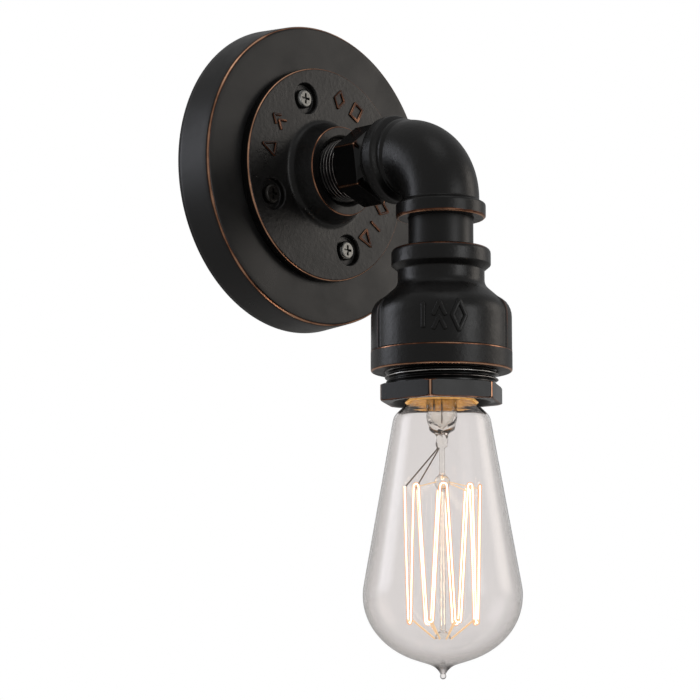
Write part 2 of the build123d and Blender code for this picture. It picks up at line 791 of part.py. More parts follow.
nodes["lead_in_wires"] = Compound(lead_ins)

os.makedirs("parts", exist_ok=True)
for name, shape in nodes.items():
    export_step(shape, f"parts/{name}.step")
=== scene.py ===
import math
import bmesh
import bpy
import numpy as np
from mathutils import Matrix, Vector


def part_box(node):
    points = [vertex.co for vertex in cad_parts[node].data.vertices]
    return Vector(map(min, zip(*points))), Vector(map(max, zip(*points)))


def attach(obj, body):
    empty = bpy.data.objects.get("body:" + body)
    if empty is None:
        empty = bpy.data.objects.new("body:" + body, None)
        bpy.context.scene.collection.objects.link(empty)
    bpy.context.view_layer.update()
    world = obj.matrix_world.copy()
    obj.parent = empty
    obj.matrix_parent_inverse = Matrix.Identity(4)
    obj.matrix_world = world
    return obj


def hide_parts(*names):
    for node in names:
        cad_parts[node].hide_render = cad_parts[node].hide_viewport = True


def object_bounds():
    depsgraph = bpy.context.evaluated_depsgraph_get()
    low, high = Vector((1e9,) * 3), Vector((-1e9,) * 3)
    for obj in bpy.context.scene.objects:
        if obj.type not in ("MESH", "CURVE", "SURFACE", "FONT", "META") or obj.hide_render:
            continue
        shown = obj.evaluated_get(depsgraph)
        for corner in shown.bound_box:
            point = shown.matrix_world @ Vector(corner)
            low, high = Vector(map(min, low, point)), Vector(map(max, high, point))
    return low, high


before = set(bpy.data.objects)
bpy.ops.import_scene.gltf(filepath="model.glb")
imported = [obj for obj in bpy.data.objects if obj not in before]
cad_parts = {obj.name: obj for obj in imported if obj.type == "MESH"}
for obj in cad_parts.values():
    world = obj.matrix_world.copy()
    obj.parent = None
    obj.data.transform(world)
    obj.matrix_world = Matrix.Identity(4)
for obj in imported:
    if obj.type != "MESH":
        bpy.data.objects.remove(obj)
cad_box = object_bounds()

# Cross bar with its ground screw, and the nuts of the short screws, all behind the pan.
# Strip and bar steel, punched or headed and then zinc plated: a pale grey metal with a soft spangle.
# The bar screws to the wall box, and the pan's long screws run into it.


def linear(code):
    """Linear colour of an sRGB hex code: a channel c over 0.04045 gives ((c + 0.055) / 1.055) to the power
    2.4, and a smaller one c / 12.92."""
    channel = np.array([int(code[place:place + 2], 16) for place in (0, 2, 4)]) / 255
    return (*np.where(channel <= 0.04045, channel / 12.92, ((channel + 0.055) / 1.055) ** 2.4), 1.0)


def add(tree, kind, inputs, **settings):
    """Adds one shader node: settings are its properties, and an input is a value or a socket to link
    from."""
    made = tree.nodes.new(kind)
    for name, value in settings.items():
        setattr(made, name, value)
    for name, value in inputs.items():
        if isinstance(value, bpy.types.NodeSocket):
            tree.links.new(value, made.inputs[name])
        else:
            made.inputs[name].default_value = value
    return made


def plain_finish(name, pale, deep, inputs, grain, relief=0.0):
    """A finish whose colour drifts between two hex codes with a noise of one grain size in millimetres.
    The same noise stands up as a bump of relief millimetres; inputs are the shader's own sockets."""
    made = bpy.data.materials.new(name)
    made.use_nodes = True
    tree = made.node_tree
    tree.nodes.clear()
    where = add(tree, "ShaderNodeTexCoord", {}).outputs["Object"]
    noise = add(tree, "ShaderNodeTexNoise", {"Vector": where, "Scale": 1000 / grain, "Detail": 3.0})
    colour = add(tree, "ShaderNodeMix", {0: noise.outputs["Fac"], 6: linear(deep), 7: linear(pale)},
                 data_type="RGBA")
    sockets = {"Base Color": colour.outputs[2], **inputs}
    if relief:
        bump = add(tree, "ShaderNodeBump", {"Height": noise.outputs["Fac"], "Distance": relief / 1000})
        sockets["Normal"] = bump.outputs["Normal"]
    shader = add(tree, "ShaderNodeBsdfPrincipled", sockets)
    add(tree, "ShaderNodeOutputMaterial", {"Surface": shader.outputs["BSDF"]})
    return made


def dress(material, *names):
    """Gives CAD nodes their finish."""
    for name in names:
        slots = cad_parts[name].data.materials
        slots.clear()
        slots.append(material)


zinc_steel = plain_finish("zinc_plated_steel", "d3d6d4", "a6abab",
                          {"Metallic": 1.0, "Roughness": 0.42}, grain=2.5, relief=0.01)
green_dye = plain_finish("green_dyed_zinc", "3f9a5a", "1f6b3a",
                         {"Metallic": 1.0, "Roughness": 0.4}, grain=1.5)
dress(zinc_steel, "mounting_strap", "flange_nuts")
dress(green_dye, "ground_screw")

# Ground wire: a bare copper wire from the cross bar's screw to a crimped tag under one nut of the pan.
# Drawn copper gone slightly brown, so it is a dull orange metal.
bare_copper = plain_finish("bare_copper_wire", "c98a5c", "9a5b36",
                           {"Metallic": 1.0, "Roughness": 0.38}, grain=1.2)
dress(bare_copper, "ground_wire")

# Pan: the round cover on the wall, pressed from steel sheet with its open back to the wall.
# Oil-rubbed bronze: a near-black satin lacquer, rubbed through to copper along its front edge.
pan_low, pan_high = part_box("canopy")
pan_depth = -pan_low.y * 1000
pan_back_r = pan_high.x * 1000
pan_taper = 1.4
pan_front_r = pan_back_r - pan_taper
pan_sheet = 1.2
pan_edge = 1.6
pan_hole_r = 11.0
pan_columns = 288


def rounded(corners, step, rub=0.5, closed=True):
    """An outline with rounded corners. A corner is (along, radius, rounding, wear): its arc is tangent to
    both runs, at rounding / tan(half angle) from the corner. Runs are divided into steps no longer than step,
    or than the step of their own in a list. Wear is the corner's value at the middle of its arc and fades
    from there as exp(-(distance / rub) squared). Returns along, radius and wear."""
    corners = np.array(corners, float)
    count = len(corners)
    steps = np.broadcast_to(step, count)
    arcs = []
    for number, (*corner, rounding, _) in enumerate(corners):
        corner = np.array(corner)
        if rounding == 0:
            arcs.append(corner[None])
            continue
        back = corners[number - 1, :2] - corner
        ahead = corners[(number + 1) % count, :2] - corner
        back /= np.linalg.norm(back)
        ahead /= np.linalg.norm(ahead)
        half = math.acos(np.clip(back @ ahead, -1, 1)) / 2
        middle = corner + (back + ahead) / np.linalg.norm(back + ahead) * rounding / math.sin(half)
        start = corner + back * rounding / math.tan(half) - middle
        end = corner + ahead * rounding / math.tan(half) - middle
        sweep = math.pi - 2 * half
        share = np.linspace(0, 1, math.ceil(sweep / arc_step) + 1)[:, None]
        swung = np.sin((1 - share) * sweep) * start + np.sin(share * sweep) * end
        arcs.append(middle + swung / math.sin(sweep))
    rows = []
    for number, arc in enumerate(arcs):
        rows.append(arc)
        if number == count - 1 and not closed:
            break
        target = arcs[(number + 1) % count][0]
        pieces = math.ceil(np.linalg.norm(target - arc[-1]) / steps[number])
        rows.append(arc[-1] + (target - arc[-1]) * np.linspace(0, 1, pieces + 1)[1:-1, None])
    rows = np.vstack(rows)
    wear = np.zeros(len(rows))
    for arc, worn in zip(arcs, corners[:, 3]):
        from_edge = np.linalg.norm(rows - arc[len(arc) // 2], axis=1)
        wear = np.maximum(wear, worn * np.exp(-((from_edge / rub) ** 2)))
    return rows[:, 0], rows[:, 1], wear


arc_step = math.radians(12)


def on_arm(along, radius, angle):
    """A grid about the arm's axis: x = r cos a, y = -along, z = r sin a, with a row for each along."""
    radius = radius if radius.ndim == 2 else radius[:, None]
    along = along if along.ndim == 2 else along[:, None]
    return np.stack(np.broadcast_arrays(radius * np.cos(angle), -along, radius * np.sin(angle)), -1)


def skin(name, finish, grids):
    """One mesh from grids (points in millimetres, wear, closed). Point [row, column] is joined by quads to
    the next row and column; columns close into rings, rows too where closed. Rows drawn to a point become
    a pole."""
    points, wears, quads = [], [], []
    first = 0
    for grid, wear, closed in grids:
        rows, columns = grid.shape[:2]
        row = np.arange(rows if closed else rows - 1)[:, None]
        column = np.arange(columns)[None]
        after = (row + 1) % rows
        beside = (column + 1) % columns
        quad = (row * columns + column, row * columns + beside,
                after * columns + beside, after * columns + column)
        quads.append(np.stack(quad, -1).reshape(-1, 4) + first)
        points.append(grid.reshape(-1, 3) / 1000)
        wears.append(np.broadcast_to(wear, (rows, columns)).ravel())
        first += rows * columns
    mesh = bpy.data.meshes.new(name)
    mesh.from_pydata(np.vstack(points), [], np.vstack(quads).tolist())
    mesh.attributes.new("wear", "FLOAT", "POINT").data.foreach_set("value", np.concatenate(wears))
    tidy = bmesh.new()
    tidy.from_mesh(mesh)
    bmesh.ops.remove_doubles(tidy, verts=tidy.verts, dist=1e-8)
    bmesh.ops.recalc_face_normals(tidy, faces=tidy.faces)
    tidy.to_mesh(mesh)
    tidy.free()
    mesh.shade_smooth()
    mesh.materials.append(finish)
    piece = bpy.data.objects.new(name, mesh)
    bpy.context.scene.collection.objects.link(piece)
    return piece


def bronze(name, skin_size, skin_relief, roughness, stretch=(1, 1, 1)):
    """Oil-rubbed bronze. Lacquer drifts between two near-blacks; copper shows where the mesh's wear plus a
    patchy noise passes a threshold, and pale bare steel where the sum is well below zero, on a thread's
    crest, which is worn steel and also a painted highlight for the crest's glints.
    Skin size and relief in millimetres are those of the metal under the lacquer, and stretch squeezes the
    skin along an axis for turned marks."""
    made = bpy.data.materials.new(name)
    made.use_nodes = True
    tree = made.node_tree
    tree.nodes.clear()
    where = add(tree, "ShaderNodeTexCoord", {}).outputs["Object"]
    drift = add(tree, "ShaderNodeTexNoise",
                {"Vector": where, "Scale": 1000 / drift_size, "Detail": 8.0, "Roughness": 0.68})
    patch = add(tree, "ShaderNodeTexNoise", {"Vector": where, "Scale": 1000 / patch_size, "Detail": 5.0})
    squeezed = add(tree, "ShaderNodeMapping", {"Vector": where, "Scale": stretch})
    texture = add(tree, "ShaderNodeTexNoise",
                  {"Vector": squeezed.outputs[0], "Scale": 1000 / skin_size, "Detail": 4.0,
                   "Roughness": 0.6})
    rub = add(tree, "ShaderNodeAttribute", {}, attribute_name="wear")
    sway = add(tree, "ShaderNodeMath", {0: patch.outputs["Fac"], 1: patch_sway, 2: rub.outputs["Fac"]},
               operation="MULTIPLY_ADD").outputs[0]
    bare = add(tree, "ShaderNodeMapRange", {"Value": sway, "From Min": bare_from, "From Max": bare_full},
               interpolation_type="SMOOTHSTEP").outputs[0]
    bright = add(tree, "ShaderNodeMapRange",
                 {"Value": sway, "From Min": bright_from, "From Max": bright_full})
    # Pale bare steel on the thread crests: wear, and a painted highlight that stands in for the crests'
    # glints.
    cut = add(tree, "ShaderNodeMapRange",
              {"Value": sway, "From Min": crest_wear_and_glint_from, "From Max": crest_wear_and_glint_full}).outputs[0]
    lacquer = add(tree, "ShaderNodeMix",
                  {0: drift.outputs["Fac"], 6: linear("0b0a0a"), 7: linear("151413")}, data_type="RGBA")
    copper = add(tree, "ShaderNodeMix", {0: bright.outputs[0], 6: linear("6b3312"), 7: linear("e9b796")},
                 data_type="RGBA")
    bared = add(tree, "ShaderNodeMix", {0: cut, 6: copper.outputs[2], 7: linear("f4f2ee")},
                data_type="RGBA")
    metal = add(tree, "ShaderNodeMath", {0: bare, 1: cut}, operation="MAXIMUM").outputs[0]
    colour = add(tree, "ShaderNodeMix", {0: metal, 6: lacquer.outputs[2], 7: bared.outputs[2]},
                 data_type="RGBA")
    gloss = add(tree, "ShaderNodeMapRange",
                {"Value": drift.outputs["Fac"], "From Min": 0.3, "From Max": 0.7,
                 "To Min": roughness - gloss_spread, "To Max": roughness + gloss_spread})
    polish = add(tree, "ShaderNodeMix", {0: metal, 2: gloss.outputs[0], 3: copper_roughness})
    bump = add(tree, "ShaderNodeBump", {"Height": texture.outputs["Fac"], "Distance": skin_relief / 1000})
    shader = add(tree, "ShaderNodeBsdfPrincipled",
                 {"Base Color": colour.outputs[2], "Metallic": metal, "Roughness": polish.outputs[0],
                  "Normal": bump.outputs["Normal"], "Specular IOR Level": 0.4})
    add(tree, "ShaderNodeOutputMaterial", {"Surface": shader.outputs["BSDF"]})
    return made


drift_size = 25.0
gloss_spread = 0.1
copper_roughness = 0.2
patch_size = 12.0
patch_sway = 0.9
bare_from = 0.8
bare_full = 1.25
bright_from = 1.05
bright_full = 1.45
crest_wear_and_glint_from = -0.26
crest_wear_and_glint_full = -0.52

bronze_sheet = bronze("oil_rubbed_bronze_on_pressed_steel", skin_size=0.9, skin_relief=0.006, roughness=0.36)
along, radius, wear = rounded([
    (0, pan_back_r, 0, 0.3),
    (pan_depth, pan_front_r, pan_edge, 0.9),
    (pan_depth, pan_hole_r, 0, 0),
    (pan_depth - pan_sheet, pan_hole_r, 0, 0),
    (pan_depth - pan_sheet, pan_front_r - pan_sheet, pan_edge / 2, 0),
    (0, pan_back_r - pan_sheet, 0, 0.3),
], step=2.0, rub=0.72)
pan_around = np.linspace(0, 2 * math.pi, pan_columns, endpoint=False)
pan = skin("pan", bronze_sheet, [(on_arm(along, radius, pan_around), wear[:, None], True)])
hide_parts("canopy")
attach(pan, "fixture")

# Flange: a cast iron floor flange with a threaded hub and a spot-faced recess round each of four screws.
# The same lacquer over a sand-cast skin, rubbed to copper on the rim and the hub.
# Screws through the recesses hold it to the pan.
flange_low, flange_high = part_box("flange")
hub_front = -flange_low.y * 1000
flange_back = -flange_high.y * 1000
flange_r = flange_high.x * 1000
flange_thick = 4.0
flange_front = flange_back + flange_thick
flange_edge = 1.0
flange_bore_r = 13.4
hub_r = 19.2
hub_root = 2.9
hub_mouth = 2.0
hub_edge = 0.8
screw_circle_r = 34.0
recess_r = 6.5
recess_depth = 2.5
recess_lip = 0.35
first_screw = 112
screw_angles = np.radians(first_screw + 90 * np.arange(4))
recess_spread = np.radians(13)
recess_columns = 60
plain_columns = 30
face_tolerance = 0.01

bronze_casting = bronze("oil_rubbed_bronze_on_cast_iron", skin_size=1.8, skin_relief=0.11, roughness=0.32)


def smooth(share):
    """Smooth step: 3 s squared - 2 s cubed, with s held between 0 and 1."""
    share = np.clip(share, 0, 1)
    return share * share * (3 - 2 * share)


flange_around = np.concatenate([
    np.concatenate([
        np.linspace(angle - recess_spread, angle + recess_spread, recess_columns, endpoint=False),
        np.linspace(angle + recess_spread, angle + math.pi / 2 - recess_spread, plain_columns,
                    endpoint=False),
    ]) for angle in screw_angles
])
along, radius, wear = rounded([
    (flange_back, flange_bore_r, 0, 0),
    (hub_front - hub_mouth, flange_bore_r, 0, 0),
    (hub_front, flange_bore_r + hub_mouth, 0, 0.2),
    (hub_front, hub_r, hub_edge, 0.78),
    (flange_front, hub_r + hub_root, hub_root, 0),
    (flange_front, flange_r, flange_edge, 1.0),
    (flange_back, flange_r, 0, 0),
], step=[3.0, 0.5, 0.5, 0.8, 0.25, 1.0, 4.0], rub=0.5)
nearest = np.min([
    np.hypot(
        radius[:, None] * np.cos(flange_around) - screw_circle_r * math.cos(angle),
        radius[:, None] * np.sin(flange_around) - screw_circle_r * math.sin(angle),
    ) for angle in screw_angles
], axis=0)
in_recess = smooth((recess_r + recess_lip - nearest) / (2 * recess_lip))
on_front = (np.abs(along - flange_front) < face_tolerance)[:, None]
flange_out = along[:, None] - recess_depth * in_recess * on_front
flange_grid = on_arm(flange_out, radius, flange_around)
flange = skin("flange_casting", bronze_casting, [(flange_grid, wear[:, None], True)])
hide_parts("flange")
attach(flange, "fixture")

# Cast marks on the flange and on the bell: low raised strokes from the pattern maker, in plain shapes.
# Part of the castings, so the same lacquer, rubbed to copper on the flange where they stand out.
mark_r = 35.0
mark_width = 1.05
mark_height = 0.7
stroke_step = 0.25
stroke_sink = 0.6
stroke_sides = np.array([-0.62, -0.5, -0.36, 0, 0.36, 0.5, 0.62])
stroke_heights = np.array([-stroke_sink, 0.7, 1.0, 1.0, 1.0, 0.7, -stroke_sink])
stroke_wear = np.array([0, 0.85, 0.7, 0.45, 0.7, 0.85, 0])


def stroke(path, width, height, closed):
    """A raised stroke along a path in the plane: a trapezium with a soft top carried along it, sunk a little
    at its foot. Columns go across it as shares of its width and height; an open stroke's ends are rounded by
    the factor sqrt(1 - (1 - distance to the end / half width) squared). Returns places, heights and wear."""
    corners = np.array([*path, path[0]] if closed else path, float)
    lengths = np.linalg.norm(np.diff(corners, axis=0), axis=1)
    travelled = np.concatenate([[0], np.cumsum(lengths)])
    rows = math.ceil(travelled[-1] / stroke_step)
    at = np.linspace(0, travelled[-1], rows, endpoint=not closed)
    points = np.stack([np.interp(at, travelled, corners[:, part]) for part in (0, 1)], -1)
    if closed:
        ahead = np.roll(points, -2, axis=0) - np.roll(points, 2, axis=0)
        full = np.ones(rows)
    else:
        ahead = np.gradient(points, axis=0)
        to_end = np.minimum(at, travelled[-1] - at) / (width / 2)
        full = np.sqrt(np.clip(1 - (1 - np.clip(to_end, 0, 1)) ** 2, 0, 1))
    ahead /= np.linalg.norm(ahead, axis=1)[:, None]
    across = np.stack([-ahead[:, 1], ahead[:, 0]], -1)
    full = full[:, None]
    flat = points[:, None] + across[:, None] * (width * stroke_sides * full)[..., None]
    lift = height * (stroke_heights * full - stroke_sink * (1 - full))
    return flat, lift, np.broadcast_to(stroke_wear, lift.shape)


diamond = [(-2.8, 0), (0, 4.0), (2.8, 0), (0, -4.0)]
triangle = [(-2.9, -3.3), (0, 3.8), (2.9, -3.3)]
square = [(-2.5, -3.2), (-2.5, 3.2), (2.5, 3.2), (2.5, -3.2)]
chevron = [(-2.7, -2.2), (0, 1.6), (2.7, -2.2)]
bar = [(0, -3.6), (0, 3.6)]
chevron_down = 1.8
chevron_up = 1.9
low_chevron = [(x, y - chevron_down) for x, y in chevron]
high_chevron = [(x, y + chevron_up) for x, y in chevron]
flange_marks = (
    (168, ((triangle, True),)),
    (146, ((low_chevron, False), (high_chevron, False))),
    (78, ((diamond, True),)),
    (60, ((square, True),)),
    (-17, ((diamond, True),)),
    (-32.5, ((bar, False),)),
    (-46.5, ((triangle, True),)),
)
mark_grids = []
for degrees, strokes in flange_marks:
    angle = math.radians(degrees)
    outwards = np.array([math.cos(angle), math.sin(angle)])
    sideways = np.array([math.sin(angle), -math.cos(angle)])
    for path, closed in strokes:
        flat, lift, worn = stroke(path, mark_width, mark_height, closed)
        spot = outwards * mark_r + flat[..., :1] * sideways + flat[..., 1:] * outwards
        grid = np.stack([spot[..., 0], -(flange_front + lift), spot[..., 1]], -1)
        mark_grids.append((grid, worn, closed))
flange_mark = skin("flange_cast_marks", bronze_casting, mark_grids)
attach(flange_mark, "fixture")

# Screws: two long ones through pan and flange into the cross bar, and two short ones that clamp the flange.
# Headed steel with a cross recess; the long ones are dull nickel, the short ones black oxide.
nickel_steel = plain_finish("dull_nickel_plated_steel", "94948f", "46474b",
                            {"Metallic": 1.0, "Roughness": 0.24}, grain=0.8, relief=0.03)
black_oxide = plain_finish("black_oxide_steel", "34312e", "1c1a19",
                           {"Metallic": 0.6, "Roughness": 0.32}, grain=0.8, relief=0.01)
dress(nickel_steel, "mounting_screws")
dress(black_oxide, "flange_screws")

# Arm: a short pipe nipple with a hexagon in its middle, screwed into the flange hub and the elbow.
# Turned from steel and lacquered: thread crests worn to bare steel, whose pale colour is also a painted
# highlight for their glints; hexagon corners rubbed to copper.
arm_low, arm_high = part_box("hex_nipple")
arm_start = -arm_high.y * 1000
arm_end = -arm_low.y * 1000
arm_hex_gap = 9.5
arm_hex_length = 12.0
arm_hex_start = hub_front + arm_hex_gap
arm_hex_end = arm_hex_start + arm_hex_length
arm_hex_turn = math.radians(8.5)
pipe_r = 13.35
pipe_bore_r = 10.45
pipe_pitch = 1.814
pipe_thread_depth = 1.1
arm_hex_across = 30.0
arm_end_rub = 0

bronze_pipe = bronze("oil_rubbed_bronze_on_turned_steel", skin_size=1.2, skin_relief=0.012, roughness=0.18)


def thread(along, angle, crest_r, depth, pitch):
    """Radius of a right-hand thread: crest - depth + depth x ridge, where the ridge is half of 1 + sine of
    along / pitch - angle / full turn, faded to nothing over one pitch at each end. The crest is worn to bare
    steel, whose pale colour is also a painted highlight for its glints; for it the wear is minus a power of
    the ridge."""
    phase = along[:, None] / pitch - angle / (2 * math.pi)
    fade = smooth((along - along[0]) / pitch) * smooth((along[-1] - along) / pitch)
    ridge = (0.5 + 0.5 * np.sin(2 * math.pi * phase)) * fade[:, None]
    return crest_r - depth + depth * ridge, -(ridge ** crest_power)


crest_power = 3


def hexagon(along, angle, across, end_rub):
    """Radius of a hexagon bar: half the width over flats / cos(angle from the flat's middle), cut by a
    rounded corner circle and by a cone at each end. Its wear peaks on the corners, on the cones' rims and, by
    end_rub, on the last end's edge."""
    from_flat = (angle + math.pi / 6) % (math.pi / 3) - math.pi / 6
    side_r = np.broadcast_to(across / 2 / np.cos(from_flat), (len(along), len(angle)))
    corner_r = across / math.sqrt(3) * hex_corner_share
    from_end = np.minimum(along - along[0], along[-1] - along)[:, None]
    cone_r = across / 2 * hex_face_share + from_end / hex_cone_slope
    bar_r = np.minimum(side_r, corner_r)
    corner_wear = np.exp(-(((math.pi / 6 - np.abs(from_flat)) * across / 2 / hex_rub_width) ** 2))
    rim_wear = np.exp(-(((cone_r - bar_r) * hex_cone_slope / hex_rub_width) ** 2))
    end_wear = np.exp(-(((along[-1] - along) / hex_rub_width) ** 2))[:, None]
    edge_wear = np.maximum(hex_rim_rub * rim_wear, end_rub * end_wear)
    return np.minimum(bar_r, cone_r), np.maximum(corner_wear, edge_wear)


hex_corner_share = 0.985
hex_face_share = 1.1
hex_cone_slope = math.tan(math.radians(25))
hex_rub_width = 0.45
hex_rim_rub = 0.6
hex_flat_half = 26
hex_flat_columns = 16
hex_corner_columns = 8
hex_side = np.concatenate([
    np.linspace(-30, -hex_flat_half, hex_corner_columns, endpoint=False),
    np.linspace(-hex_flat_half, hex_flat_half, hex_flat_columns, endpoint=False),
    np.linspace(hex_flat_half, 30, hex_corner_columns, endpoint=False),
])
hex_around = np.radians(np.concatenate([60 * side + hex_side for side in range(6)]))


def evenly(start, end, step):
    """Places from start to end, no more than a step apart."""
    return np.linspace(start, end, math.ceil(abs(end - start) / step) + 1)


thread_steps = 12
hex_step = 0.2
hex_cone_run = 2.0
back_run = evenly(arm_start, arm_hex_start, pipe_pitch / thread_steps)
hex_run = np.concatenate([
    evenly(arm_hex_start, arm_hex_start + hex_cone_run, hex_step),
    evenly(arm_hex_end - hex_cone_run, arm_hex_end, hex_step),
])
front_run = evenly(arm_hex_end, arm_end, pipe_pitch / thread_steps)
hex_radius, hex_wear = hexagon(hex_run, hex_around, arm_hex_across, arm_end_rub)
back_radius, back_wear = thread(back_run, hex_around, pipe_r, pipe_thread_depth, pipe_pitch)
front_radius, front_wear = thread(front_run, hex_around, pipe_r, pipe_thread_depth, pipe_pitch)
bore = np.full((1, len(hex_around)), pipe_bore_r)
arm_along = np.concatenate([[arm_start], back_run, hex_run, front_run, [arm_end]])
arm_radius = np.vstack([bore, back_radius, hex_radius, front_radius, bore])
arm_wear = np.vstack([0 * bore, back_wear, hex_wear, front_wear, 0 * bore])
arm_grid = on_arm(arm_along, arm_radius, hex_around + arm_hex_turn)
arm = skin("arm_nipple", bronze_pipe, [(arm_grid, arm_wear, True)])
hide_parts("hex_nipple")
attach(arm, "fixture")

# Elbow: a cast 90 degree elbow with a thick bead round each mouth, screwed on the arm.
# Lacquered cast iron, rubbed to copper along the lower bead's edge.
_, elbow_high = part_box("elbow")
reducer_low, reducer_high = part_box("reducer")
reach = -(reducer_low.y + reducer_high.y) / 2 * 1000
elbow_face = -elbow_high.y * 1000
elbow_r = 15.9
elbow_mouth = 8.0
elbow_bend_r = reach - elbow_face - elbow_mouth
bead_r = elbow_high.x * 1000
bead_length = 5.8
bead_slope = 1.5
bead_edge = 1.2
ridge_rise = 0.7
ridge_width = 1.3
ridge_slope = 0.3
ridge_round = 0.4
groove = 0.6
groove_round = 0.2
corner_round = 0.3
cast_round = 0.8
bead_chamfer = 0.7
elbow_columns = 144
bend_start = elbow_mouth
bend_end = elbow_mouth + elbow_bend_r * math.pi / 2
elbow_length = bend_end + elbow_mouth


def on_bend(along, radius, angle):
    """A grid along the elbow's middle line: straight out, a quarter turn downwards, straight down. At a turn
    t the middle is (reach - R + R sin t) out and (R - R cos t) down, and a ring's upright is (sin t out,
    cos t up)."""
    turn = np.clip((along - bend_start) / elbow_bend_r, 0, math.pi / 2)
    out = elbow_face + np.minimum(along, bend_start) + elbow_bend_r * np.sin(turn)
    down = elbow_bend_r * (1 - np.cos(turn)) + np.maximum(along - bend_end, 0)
    upright = radius[:, None] * np.sin(angle)
    x = radius[:, None] * np.cos(angle)
    y = -out[:, None] - upright * np.sin(turn)[:, None]
    z = -down[:, None] + upright * np.cos(turn)[:, None]
    return np.stack([x, y, z], -1)


ridge_start = bead_length + bead_slope + groove
along, radius, wear = rounded([
    (0, flange_bore_r, 0, 0),
    (0, bead_r, bead_edge, 0.25),
    (bead_length, bead_r, bead_edge, 0),
    (bead_length + bead_slope, elbow_r, corner_round, 0),
    (ridge_start, elbow_r, groove_round, 0),
    (ridge_start + ridge_slope, elbow_r + ridge_rise, corner_round, 0),
    (ridge_start + ridge_width, elbow_r + ridge_rise, ridge_round, 0),
    (ridge_start + 2 * ridge_width, elbow_r, cast_round, 0),
    (elbow_length - bead_length - bead_slope, elbow_r, cast_round, 0),
    (elbow_length - bead_length, bead_r, bead_edge, 0.1),
    (elbow_length - bead_chamfer, bead_r, corner_round, 0.7),
    (elbow_length, bead_r - bead_chamfer, corner_round, 1.0),
    (elbow_length, flange_bore_r, 0, 0),
    (elbow_length - elbow_mouth, flange_bore_r, 0, 0),
    (elbow_length - elbow_mouth, pipe_bore_r, 0, 0),
    (elbow_mouth, pipe_bore_r, 0, 0),
    (elbow_mouth, flange_bore_r, 0, 0),
], step=0.9, rub=0.5)
elbow_around = np.linspace(0, 2 * math.pi, elbow_columns, endpoint=False)
elbow = skin("elbow_casting", bronze_casting, [(on_bend(along, radius, elbow_around), wear[:, None], True)])
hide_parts("elbow")
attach(elbow, "fixture")

# Drop: a short plain pipe between elbow and bell.
# Drawn steel tube, lacquered, with faint turning marks round it.
drop_low, drop_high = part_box("drop_nipple")


def on_drop(along, radius, angle):
    """The arm's grid turned down about the drop's axis: x = r cos a, y = -reach - r sin a, z = -along."""
    x, out, up = np.moveaxis(on_arm(along, radius, angle), -1, 0)
    return np.stack([x, -reach - up, out], -1)


bronze_tube = bronze("oil_rubbed_bronze_on_drawn_tube", skin_size=3.0, skin_relief=0.02, roughness=0.4,
                     stretch=(1, 1, 8))
along, radius, wear = rounded([
    (-drop_high.z * 1000, pipe_bore_r, 0, 0),
    (-drop_high.z * 1000, pipe_r, 0, 0),
    (-drop_low.z * 1000, pipe_r, 0, 0),
    (-drop_low.z * 1000, pipe_bore_r, 0, 0),
], step=3.0)
drop = skin("drop_pipe", bronze_tube, [(on_drop(along, radius, elbow_around), wear[:, None], True)])
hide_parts("drop_nipple")
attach(drop, "fixture")

# Bell: a cast reducing coupling with a collar, a waist, a flare, two broad ribs and a band round its mouth.
# Lacquered cast iron, rubbed to copper along the collar, the band and the ribs' edges.
bell_top = -reducer_high.z * 1000
bell_end = -reducer_low.z * 1000
collar_r = 20.4
collar_height = 7.0
collar_round = 2.2
collar_slope = 2.2
neck_r = 17.8
neck_drop = 15.4
neck_end = bell_top + neck_drop
flare_length = 9.0
flare_root = 5.0
flare_round = 9.0
bell_r = 28.0
band_r = 28.9
band_height = 8.8
band_edge = 0.9
band_step = 0.5
band_round = 0.4
rib_rise = 0.8
rib_rub = 0.55
rib_rise_run = 3.0
rib_end_run = 0.4
rib_margin = 0.1
rib_half = math.radians(25)
rib_middle = math.radians(45)
rib_blend = math.radians(2.4)
socket_r = 23.3
socket_depth = 18.0
throat_r = 11.0
bell_columns = 360

band_top = bell_end - band_height
along, radius, wear = rounded([
    (bell_top, collar_r, collar_round, 0.75),
    (bell_top + collar_height, collar_r, band_edge, 0),
    (bell_top + collar_height + collar_slope, neck_r, band_edge, 0),
    (neck_end, neck_r, flare_root, 0),
    (neck_end + flare_length, bell_r, flare_round, 0),
    (band_top, bell_r, corner_round, 0),
    (band_top + band_step, band_r, band_round, 0.75),
    (bell_end, band_r, band_edge, 1.0),
    (bell_end, socket_r, 0, 0),
    (bell_end - socket_depth, socket_r, 0, 0),
    (bell_end - socket_depth, throat_r, 0, 0),
    (bell_top, throat_r, 0, 0),
], step=[0.6] * 7 + [2, 2, 2, 4, 2], rub=0.65)
bell_around = np.linspace(0, 2 * math.pi, bell_columns, endpoint=False)
from_rib = np.abs((bell_around - rib_middle + math.pi / 2) % math.pi - math.pi / 2)
rib = smooth((rib_half + rib_blend / 2 - from_rib) / rib_blend)
rib_start = smooth((along - neck_end - flare_length / 2) / rib_rise_run)
rib_stop = smooth((band_top + rib_end_run - along) / rib_end_run)
rib_run = (rib_start * rib_stop * (radius > socket_r - rib_margin))[:, None]
bell_radius = radius[:, None] + rib_rise * rib * rib_run
from_rib_edge = (from_rib - rib_half + rib_blend / 3) / (rib_blend / 2)
rib_wear = rib_rub * np.exp(-(from_rib_edge ** 2)) * rib_run
bell = skin("bell_casting", bronze_casting,
            [(on_drop(along, bell_radius, bell_around), np.maximum(wear[:, None], rib_wear), True)])
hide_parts("reducer")
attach(bell, "fixture")

